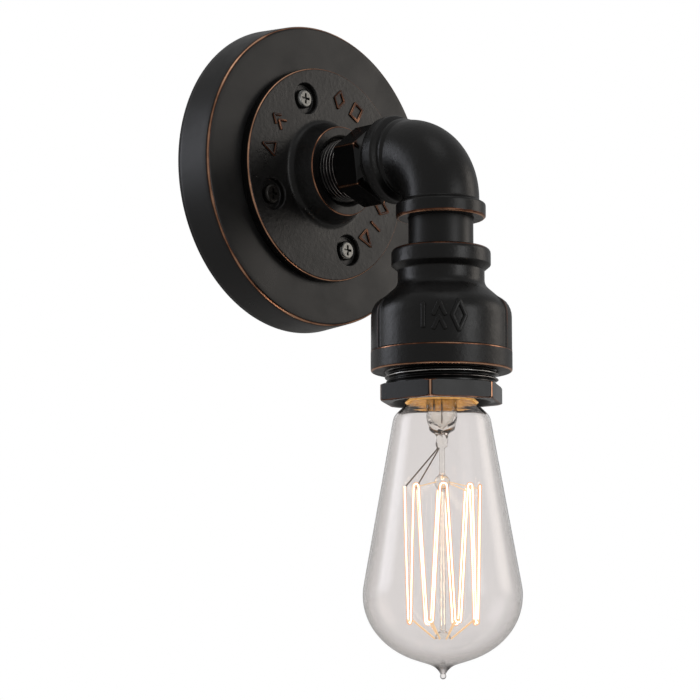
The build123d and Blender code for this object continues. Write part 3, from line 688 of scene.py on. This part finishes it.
bell_mark_angle = math.radians(134.6)
bell_mark_drop = 31.5
bell_mark_width = 1.7
bell_mark_stretch = 1.5
bell_marks = (
    (-8.5, ((bar, False),)),
    (-2.0, ((high_chevron, False), (low_chevron, False))),
    (6.0, ((diamond, True),)),
)
bell_mark_grids = []
for place, strokes in bell_marks:
    for path, closed in strokes:
        tall_path = [(x, bell_mark_stretch * y) for x, y in path]
        flat, lift, _ = stroke(tall_path, bell_mark_width, mark_height, closed)
        angle = bell_mark_angle - (flat[..., 0] + place) / bell_r
        grid = on_drop(bell_top + bell_mark_drop - flat[..., 1], bell_r + lift, angle)
        bell_mark_grids.append((grid, 0, closed))
bell_mark = skin("bell_cast_marks", bronze_casting, bell_mark_grids)
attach(bell_mark, "fixture")

# Lampholder in the bell: a moulded cup with a brass screw shell, and a sprung tongue on a rivet.
# Black phenolic, slightly glossy from the mould; brass pressed from sheet.
phenolic = plain_finish("black_phenolic_moulding", "2a2522", "1a1715",
                        {"Roughness": 0.42}, grain=4.0, relief=0.01)
brass = plain_finish("drawn_brass", "d8ab5c", "b07f38",
                     {"Metallic": 1.0, "Roughness": 0.3}, grain=3.0, relief=0.006)
dress(phenolic, "lampholder_body")
dress(brass, "screw_shell", "contact_rivet", "centre_contact")

# Leads from the lampholder through drop, elbow and arm to twist-on connectors in the pan.
# Stranded copper in soft PVC, one black and one white; the connectors are moulded plastic.
black_pvc = plain_finish("black_pvc_insulation", "2b2b2b", "1b1b1c", {"Roughness": 0.5}, grain=3.0)
white_pvc = plain_finish("white_pvc_insulation", "e6e3dc", "d2cec4", {"Roughness": 0.5}, grain=3.0)
orange_plastic = plain_finish("orange_moulded_plastic", "e0762c", "c95f1c",
                              {"Roughness": 0.45}, grain=2.0, relief=0.02)
dress(black_pvc, "line_lead")
dress(white_pvc, "neutral_lead")
dress(orange_plastic, "wire_connectors")

# Bushing: a threaded sleeve with a hexagon, screwed up into the bell, where it traps the lampholder.
# Turned from bar and lacquered, rubbed to copper on the hexagon's corners and lower rim.
bushing_low, bushing_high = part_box("hex_bushing")
bushing_top = -bushing_high.z * 1000
bushing_end = -bushing_low.z * 1000
bushing_hex_across = 46.0
bushing_hex_height = 6.9
bushing_hex_top = bushing_end - bushing_hex_height
bushing_hex_turn = math.radians(-3)
bushing_thread_r = 23.2
bushing_thread_depth = 1.3
bushing_pitch = 2.2
bushing_bore_r = 20.1
bushing_end_rub = 0.75

sleeve_run = evenly(bushing_top, bushing_hex_top, bushing_pitch / thread_steps)
nut_run = evenly(bushing_hex_top, bushing_end, hex_step)
nut_radius, nut_wear = hexagon(nut_run, hex_around, bushing_hex_across, bushing_end_rub)
# The thread's crests are worn to pale bare steel, which is also a painted highlight for their glints.
sleeve_radius, sleeve_wear = thread(sleeve_run, hex_around, bushing_thread_r, bushing_thread_depth,
                                    bushing_pitch)
bore = np.full((1, len(hex_around)), bushing_bore_r)
bushing_along = np.concatenate([[bushing_top], sleeve_run, nut_run, [bushing_end]])
bushing_radius = np.vstack([bore, sleeve_radius, nut_radius, bore])
bushing_wear = np.vstack([0 * bore, sleeve_wear, nut_wear, 0 * bore])
bushing_grid = on_drop(bushing_along, bushing_radius, hex_around + bushing_hex_turn)
bushing = skin("bushing", bronze_pipe, [(bushing_grid, bushing_wear, True)])
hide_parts("hex_bushing")
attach(bushing, "fixture")

# Lamp cap: the bulb's screw cap with its glass insulator and soldered contact.
# Rolled brass, black glass and solder; the rim shows through the glass and carries a painted glow that stands
# in for the filament's light.
cap_low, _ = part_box("lamp_cap")
cap_glow_height = 5.0
cap_glow = 0.88
solder = plain_finish("tin_solder", "c9c9c4", "96968f",
                      {"Metallic": 1.0, "Roughness": 0.35}, grain=1.5, relief=0.03)
vitrite = plain_finish("black_vitrite_glass", "1a1a1f", "0c0c10", {"Roughness": 0.12}, grain=3.0)
dress(solder, "lamp_contact")
dress(vitrite, "lamp_insulator")
# Painted light: a brighter copy of the brass that glows in its own colour, most at the cap's lower rim, in
# place of the filament's light falling on it.
brass_with_painted_glow = plain_finish("drawn_brass_with_painted_filament_glow", "ffcd76", "803200",
                         {"Metallic": 1.0, "Roughness": 0.28}, grain=1.6, relief=0.02)
tree = brass_with_painted_glow.node_tree
shader = tree.nodes["Principled BSDF"]
tree.links.new(shader.inputs["Base Color"].links[0].from_socket, shader.inputs["Emission Color"])
where = add(tree, "ShaderNodeTexCoord", {}).outputs["Object"]
height = add(tree, "ShaderNodeSeparateXYZ", {0: where}).outputs["Z"]
glow = add(tree, "ShaderNodeMapRange",
           {"Value": height, "From Min": cap_low.z + cap_glow_height / 1000, "From Max": cap_low.z,
            "To Max": cap_glow})
tree.links.new(glow.outputs[0], shader.inputs["Emission Strength"])
dress(brass_with_painted_glow, "lamp_cap")

# Bulb glass: a long pear of blown soda-lime glass with a sealed tip where it was pumped out.
# Clear and thin, but solid at the tip, whose edges get a near-black painted shade; its neck is cemented in
# the cap.
glass_low, glass_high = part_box("bulb_glass")
neck_top = -glass_high.z * 1000
tip_end = -glass_low.z * 1000
belly_r = glass_high.x * 1000
neck_grip = 14.0
lamp_rim = neck_top + neck_grip
belly_drop = 78.0
belly_middle = lamp_rim + belly_drop
belly_depth = 27.6
glass_wall = 0.8
neck_glass_r = 11.3
flare_lead = 2.2
flare_from = lamp_rim - flare_lead
flare_slope = math.tan(math.radians(47))
cone_slope = math.tan(math.radians(10.15))
shoulder_round = 6.0
neck_round = 2.8
tip_neck_r = 1.0
tip_ball_r = 1.25
tip_spread = 2.1
tip_from_r = 9.0
tip_wall = 0.5
tip_crowding = 1.6
tip_rows = 24
ball_rows = 14
belly_rows = 50
solid_above = 1.5
solid_run = 3.0
solid_lead = 0.33
glass_columns = 160

belly_meet = math.pi / 2 + math.atan(cone_slope * belly_depth / belly_r)
meet_along = belly_middle + belly_depth * math.cos(belly_meet)
meet_r = belly_r * math.sin(belly_meet)
shoulder = meet_r - neck_glass_r + flare_slope * flare_from - cone_slope * meet_along
shoulder /= flare_slope - cone_slope
side_along, side_r, _ = rounded([
    (neck_top, neck_glass_r, 0, 0),
    (flare_from, neck_glass_r, neck_round, 0),
    (shoulder, neck_glass_r + flare_slope * (shoulder - flare_from), shoulder_round, 0),
    (meet_along, meet_r, 0, 0),
], step=1.5, closed=False)
belly = np.linspace(belly_meet, math.asin(tip_from_r / belly_r), belly_rows)[1:-1]
tip_height = tip_end - tip_ball_r - belly_middle - belly_depth
tip_height -= math.sqrt(tip_ball_r ** 2 - tip_neck_r ** 2)
tip_r = tip_neck_r + (tip_from_r - tip_neck_r) * np.linspace(1, 0, tip_rows) ** tip_crowding
tip_base = belly_middle + belly_depth * np.sqrt(1 - (tip_r / belly_r) ** 2)
tip_along = tip_base + tip_height * np.exp(-(tip_r - tip_neck_r) / tip_spread)
outer_along = np.concatenate([side_along, belly_middle + belly_depth * np.cos(belly), tip_along])
outer_r = np.concatenate([side_r, belly_r * np.sin(belly), tip_r])
step_along = np.gradient(outer_along)
step_r = np.gradient(outer_r)
wall = glass_wall - (glass_wall - tip_wall) * smooth((outer_along - belly_middle) / belly_depth)
wall = wall / np.hypot(step_along, step_r)
inner_along = np.append(outer_along + wall * step_r, tip_along[-1])
inner_r = np.append(outer_r - wall * step_along, 0)
ball = np.linspace(math.pi - math.asin(tip_neck_r / tip_ball_r), 0, ball_rows)[1:]
ball_along = tip_end - tip_ball_r + tip_ball_r * np.cos(ball)
glass_along = np.concatenate([ball_along[::-1], outer_along[::-1], inner_along])
glass_r = np.concatenate([tip_ball_r * np.sin(ball)[::-1], outer_r[::-1], inner_r])
glass_around = np.linspace(0, 2 * math.pi, glass_columns, endpoint=False)

clear_glass = plain_finish("clear_soda_lime_glass", "eeebea", "e8e5e4",
                           {"Roughness": 0.0, "IOR": 1.5, "Transmission Weight": 1.0,
                            "Specular Tint": (0.5, 0.5, 0.5, 1)}, grain=40.0)


def add_painted_edge_shade(finish, code, solid_code, slant_from, slant_full):
    """Tints glass where it is seen edge-on with a painted shade that stands in for the dark reflections at
    its edges; the longer path of light through the glass there gives only a little of it. The colour goes to
    a hex code as 1 - cosine of the angle to the surface goes from slant_from to slant_full. Where the mesh's
    wear marks solid glass, the colour goes to a code of its own and starts sooner by solid_lead."""
    tree = finish.node_tree
    shader = tree.nodes["Principled BSDF"]
    solid = add(tree, "ShaderNodeAttribute", {}, attribute_name="wear").outputs["Fac"]
    facing = add(tree, "ShaderNodeLayerWeight", {"Blend": 0.5}).outputs["Facing"]
    sooner = add(tree, "ShaderNodeMath", {0: solid, 1: solid_lead, 2: facing}, operation="MULTIPLY_ADD")
    slant = add(tree, "ShaderNodeMapRange",
                {"Value": sooner.outputs[0], "From Min": slant_from, "From Max": slant_full})
    edge = add(tree, "ShaderNodeMix", {0: solid, 6: linear(code), 7: linear(solid_code)}, data_type="RGBA")
    through = shader.inputs["Base Color"].links[0].from_socket
    tinted = add(tree, "ShaderNodeMix", {0: slant.outputs[0], 6: through, 7: edge.outputs[2]},
                 data_type="RGBA")
    tree.links.new(tinted.outputs[2], shader.inputs["Base Color"])


# Painted shade: the bulb's glass turns grey towards its edges, and near black at the edges of the solid tip.
add_painted_edge_shade(clear_glass, "b0adaa", "080605", slant_from=0.4, slant_full=0.9)
solid_share = smooth((glass_along - belly_middle - belly_depth + solid_above) / solid_run)[:, None]
glass_grid = on_drop(glass_along, np.maximum(glass_r, 0), glass_around)
glass = skin("bulb_envelope", clear_glass, [(glass_grid, solid_share, False)])
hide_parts("bulb_glass")
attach(glass, "bulb")

# Stem: a flared glass tube in the neck, pinched to a press, with a rod that carries two beads.
# Clear lead glass, worked in a flame, so the press is uneven.
stem_low, stem_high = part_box("stem")
stem_top = -stem_high.z * 1000
stem_end = -stem_low.z * 1000
stem_flare_r = 10.2
stem_tube_r = 6.3
stem_wall = 0.8
taper_start = 3.2
taper_end = 1.2
taper_round = 7.0
bore_taper = 3.6
bore_round = 6.4
press_drop = 12.0
press_length = 6.0
press_start = lamp_rim + press_drop
press_end = press_start + press_length
press_r = 1.8
press_round = 1.5
press_edge = 0.6
press_step = 0.5
pinch_start = 3.0
pinch_end = 1.0
pinch_fade = 1.5
pinch_flat = 0.35
pinch_turn = 0.6
ripple = 0.12
ripple_count = 5
ripple_twist = 1.3
rod_r = 1.2
bead_glass_r = 3.2
bead_drop = 32.5
upper_bead = lamp_rim + bead_drop
stem_columns = 48

lead_glass = plain_finish("clear_lead_glass", "fbfaf7", "f1eee8",
                          {"Roughness": 0.02, "IOR": 1.55, "Transmission Weight": 1.0},
                          grain=3.0, relief=0.15)
# Painted shade: the stem's glass turns dark brown where it is seen edge-on.
add_painted_edge_shade(lead_glass, "2a2420", "2a2420", slant_from=0.3, slant_full=0.9)
along, radius, _ = rounded([
    (stem_top, stem_flare_r - stem_wall, 0, 0),
    (stem_top, stem_flare_r, 0, 0),
    (stem_top + stem_flare_r - stem_tube_r, stem_tube_r, stem_wall, 0),
    (press_start - taper_start, stem_tube_r, taper_round, 0),
    (press_start + taper_end, press_r, press_round, 0),
    (press_end, press_r, press_edge, 0),
    (press_end + press_step, rod_r, 0, 0),
    (stem_end - bead_glass_r, rod_r, 0, 0),
    (stem_end - bead_glass_r, 0, 0, 0),
    (press_start - stem_wall, 0, 0, 0),
    (press_start - bore_taper - stem_wall, stem_tube_r - stem_wall, bore_round, 0),
    (stem_top + stem_flare_r - stem_tube_r, stem_tube_r - stem_wall, 0, 0),
], step=0.8)
from_bead = np.minimum(np.abs(along - upper_bead), np.abs(along - stem_end + bead_glass_r))
bead_swell = np.sqrt(np.maximum(bead_glass_r ** 2 - from_bead ** 2, 0))
on_rod = (along > press_end) & (radius > rod_r / 10)
radius = np.where(on_rod, np.maximum(radius, bead_swell), radius)
stem_around = np.linspace(0, 2 * math.pi, stem_columns, endpoint=False)
pinch = smooth((along - press_start + pinch_start) / pinch_start)
pinch *= smooth((press_end + pinch_end - along) / pinch_fade)
crinkle = pinch_flat * np.cos(2 * (stem_around - pinch_turn))
crinkle = crinkle + ripple * np.sin(ripple_count * stem_around + ripple_twist * along[:, None])
stem_grid = on_drop(along, radius[:, None] * (1 + pinch[:, None] * crinkle), stem_around)
stem = skin("stem_glasswork", lead_glass, [(stem_grid, 0, True)])
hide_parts("stem")
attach(stem, "bulb")

# Filament: one wire that zigzags between hooks round a cage, wound as a fine open coil on a hot core.
# Carbonised or tungsten wire at white heat: the core glows white, the outer turns orange.
cage_drop = 34.0
cage_height = 55.0
cage_start = lamp_rim + cage_drop
cage_top_r = 15.3
cage_bottom_r = 14.6
cage_turn = 135.0
strand_pairs = 7
strand_step = 0.6
bend_half = 1.25
core_r = 0.27
core_sides = 8
soften_reach = 2
coil_r = 0.72
coil_wire_r = 0.15
coil_pitch = 0.8
coil_points = 8
wire_sides = 4


def hot_wire(name, code, strength):
    """A glowing wire: a dark metal that gives off one colour of light, a little uneven along its length."""
    made = plain_finish(name, "6a5a4c", "4a3e36",
                        {"Metallic": 1.0, "Roughness": 0.5, "Emission Color": linear(code),
                         "Emission Strength": strength}, grain=2.0)
    made.cycles.emission_sampling = "NONE"
    return made


def wire_tube(path, outwards, radius, sides):
    """A round wire along a path: at each point a ring radius x (cos a n + sin a b), where n is the outward
    direction squared to the path's heading and b completes the frame."""
    heading = np.gradient(path, axis=0)
    heading /= np.linalg.norm(heading, axis=1)[:, None]
    n = outwards - heading * np.sum(outwards * heading, axis=1)[:, None]
    n /= np.linalg.norm(n, axis=1)[:, None]
    b = np.cross(heading, n)
    angle = np.linspace(0, 2 * math.pi, sides, endpoint=False)
    ring = np.cos(angle)[None, :, None] * n[:, None] + np.sin(angle)[None, :, None] * b[:, None]
    grid = path[:, None] + radius * ring
    return np.concatenate([path[None, :1].repeat(sides, 1), grid, path[None, -1:].repeat(sides, 1)]), n, b


cage_step = 360 / (strand_pairs + 1)
hook_turn = np.radians(cage_turn + cage_step / 2 * np.arange(2 * strand_pairs + 1))
bend_turn = bend_half / cage_top_r * np.array([-1, 1])
corner_turn = (hook_turn[:, None] + bend_turn).ravel()[1:-1]
low = np.repeat(np.arange(2 * strand_pairs + 1) % 2, 2)[1:-1]
lengths = np.hypot(np.diff(low) * cage_height, np.diff(corner_turn) * cage_top_r)
travelled = np.concatenate([[0], np.cumsum(lengths)])
at = np.arange(0, travelled[-1], strand_step)
soften = np.ones(2 * soften_reach + 1) / (2 * soften_reach + 1)
turn_at, low_at = (
    np.convolve(np.pad(np.interp(at, travelled, part), soften_reach, "edge"), soften, "valid")
    for part in (corner_turn, low)
)
radius_at = cage_top_r + (cage_bottom_r - cage_top_r) * low_at
level_at = cage_start + cage_height * low_at
core_path = np.stack([radius_at * np.cos(turn_at), radius_at * np.sin(turn_at) - reach, -level_at], -1)
core_out = np.stack([np.cos(turn_at), np.sin(turn_at), 0 * turn_at], -1)
core_grid, n, b = wire_tube(core_path, core_out, core_r, core_sides)
white_hot = hot_wire("white_hot_filament", "fff0d8", strength=6.0)
core = skin("filament_core", white_hot, [(core_grid, 0, False)])
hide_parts("filament")
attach(core, "bulb")

run = np.concatenate([[0], np.cumsum(np.linalg.norm(np.diff(core_path, axis=0), axis=1))])
coil_at = np.linspace(0, run[-1], int(run[-1] / coil_pitch * coil_points))
wind = 2 * math.pi * coil_at / coil_pitch
middle, side, rise = (np.stack([np.interp(coil_at, run, part[:, axis]) for axis in range(3)], -1)
                      for part in (core_path, n, b))
coil_out = np.cos(wind)[:, None] * side + np.sin(wind)[:, None] * rise
coil_grid, _, _ = wire_tube(middle + coil_r * coil_out, coil_out, coil_wire_r, wire_sides)
orange_hot = hot_wire("orange_hot_filament", "ffb27a", strength=1.15)
coil = skin("filament_coil", orange_hot, [(coil_grid, 0, False)])
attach(coil, "bulb")

# Support hooks and lead-in wires of the bulb.
# Drawn molybdenum and nickel wire, browned by the heat; the hooks carry a painted glow that stands in for the
# filament's light falling on them.
# Painted light: the hooks' emission gives them the gold glints of the filament beside them.
support_wire = plain_finish("browned_molybdenum_wire_with_painted_glow", "c9a878", "8a6a48",
                            {"Metallic": 1.0, "Roughness": 0.35, "Emission Color": linear("ffdcb0"),
                             "Emission Strength": 0.75}, grain=2.0)
lead_wire = plain_finish("nickel_wire", "8f857a", "4a4440", {"Metallic": 1.0, "Roughness": 0.3}, grain=2.0)
dress(support_wire, "filament_hooks")
dress(lead_wire, "lead_in_wires")

# Floor, light and camera.
# A pale floor under the hanging light, four soft lamps and a white world behind.
floor_drop = 0.06
floor_half = 3.0
floor_white = 0.75
floor_through_glass = 0.6
floor_in_gloss = 0.06
world_light = 0.3
world_through_glass = 1.0
world_in_gloss = 0.05
lamp_dark_edge = 0.5
lamp_full_edge = 0.1
camera_lens = 127.25
camera_place = (-0.7323, -0.7696, -0.2210)
camera_rise = 7.862
camera_turn = -44.908

floor_level = cad_box[0].z - floor_drop
floor_mesh = bpy.data.meshes.new("floor")
floor_corners = [
    (x * floor_half, y * floor_half, floor_level) for x, y in ((-1, -1), (1, -1), (1, 1), (-1, 1))
]
floor_mesh.from_pydata(floor_corners, [], [(0, 1, 2, 3)])
floor = bpy.data.objects.new("floor", floor_mesh)
bpy.context.scene.collection.objects.link(floor)
floor_paint = plain_finish("matt_white_floor", "bcbab7", "b6b4b1",
                           {"Roughness": 0.9, "Emission Color": linear("ffffff")}, grain=200.0)


def seen_white(tree, through_glass, in_gloss):
    """Share of white that a ray is shown: 1 for the camera's rays, through_glass for those that have passed
    through glass and in_gloss for reflections; the greatest counts."""
    path = add(tree, "ShaderNodeLightPath", {})
    passed = add(tree, "ShaderNodeMath", {0: path.outputs["Transmission Depth"], 1: 1.0},
                 operation="MINIMUM")
    share = path.outputs["Is Camera Ray"]
    for ray, part in ((passed.outputs[0], through_glass), (path.outputs["Is Glossy Ray"], in_gloss)):
        shown = add(tree, "ShaderNodeMath", {0: ray, 1: part}, operation="MULTIPLY")
        share = add(tree, "ShaderNodeMath", {0: share, 1: shown.outputs[0]}, operation="MAXIMUM").outputs[0]
    return share


tree = floor_paint.node_tree
floor_share = seen_white(tree, floor_through_glass, floor_in_gloss)
glow = add(tree, "ShaderNodeMath", {0: floor_share, 1: floor_white}, operation="MULTIPLY")
tree.links.new(glow.outputs[0], tree.nodes["Principled BSDF"].inputs["Emission Strength"])
floor_mesh.materials.append(floor_paint)

world = bpy.data.worlds.new("studio")
bpy.context.scene.world = world
world.use_nodes = True
tree = world.node_tree
tree.nodes.clear()
world_share = seen_white(tree, world_through_glass, world_in_gloss)
strength = add(tree, "ShaderNodeMapRange", {"Value": world_share, "To Min": world_light, "To Max": 1.0})
backdrop = add(tree, "ShaderNodeBackground", {"Color": linear("ffffff"), "Strength": strength.outputs[0]})
add(tree, "ShaderNodeOutputWorld", {"Surface": backdrop.outputs[0]})

lamp_aim = np.array([0, -reach, -60]) / 1000


def softbox(name, bearing, rise, distance, width, height, power, code):
    """A soft lamp that faces the object from a distance in metres: bearing is in degrees to the right of the
    camera, rise in degrees over level. It fades from full to dark between two shares of its width and height
    from its middle."""
    turned = math.radians(camera_turn + bearing)
    up = math.radians(rise)
    back = np.array([math.sin(turned) * math.cos(up), -math.cos(turned) * math.cos(up), math.sin(up)])
    lamp = bpy.data.lights.new(name, "AREA")
    lamp.shape = "RECTANGLE"
    lamp.size = width
    lamp.size_y = height
    lamp.energy = power
    lamp.color = linear(code)[:3]
    lamp.use_nodes = True
    tree = lamp.node_tree
    tree.nodes.clear()
    spot = add(tree, "ShaderNodeNewGeometry", {}).outputs["Parametric"]
    fade = 1.0
    for axis in ("X", "Y"):
        share = add(tree, "ShaderNodeSeparateXYZ", {0: spot}).outputs[axis]
        offset = add(tree, "ShaderNodeMath", {0: share, 1: 0.5}, operation="SUBTRACT")
        from_middle = add(tree, "ShaderNodeMath", {0: offset.outputs[0]}, operation="ABSOLUTE").outputs[0]
        edge = add(tree, "ShaderNodeMapRange",
                   {"Value": from_middle, "From Min": lamp_dark_edge, "From Max": lamp_full_edge},
                   interpolation_type="SMOOTHSTEP")
        fade = add(tree, "ShaderNodeMath", {0: edge.outputs[0], 1: fade}, operation="MULTIPLY").outputs[0]
    glow = add(tree, "ShaderNodeEmission", {"Strength": fade})
    add(tree, "ShaderNodeOutputLight", {"Surface": glow.outputs[0]})
    holder = bpy.data.objects.new(name, lamp)
    bpy.context.scene.collection.objects.link(holder)
    holder.location = lamp_aim + back * distance
    holder.rotation_euler = (math.pi / 2 - up, 0, turned)


softbox("left_softbox", bearing=-97, rise=15, distance=1.2, width=0.9, height=1.2, power=8.2, code="f2f5ff")
softbox("right_softbox", bearing=102, rise=15, distance=1.2, width=0.9, height=1.2, power=6.0, code="fff6ec")
softbox("front_softbox", bearing=48, rise=8, distance=1.5, width=1.1, height=1.1, power=8.2, code="ffffff")
softbox("top_softbox", bearing=20, rise=70, distance=1.3, width=0.9, height=0.9, power=1.6, code="ffffff")

camera_data = bpy.data.cameras.new("camera")
camera = bpy.data.objects.new("camera", camera_data)
bpy.context.scene.collection.objects.link(camera)
bpy.context.scene.camera = camera
camera_data.lens = camera_lens
camera.location = camera_place
camera.rotation_euler = (math.radians(90 + camera_rise), 0, math.radians(camera_turn))
bpy.context.scene.view_settings.view_transform = "Standard"
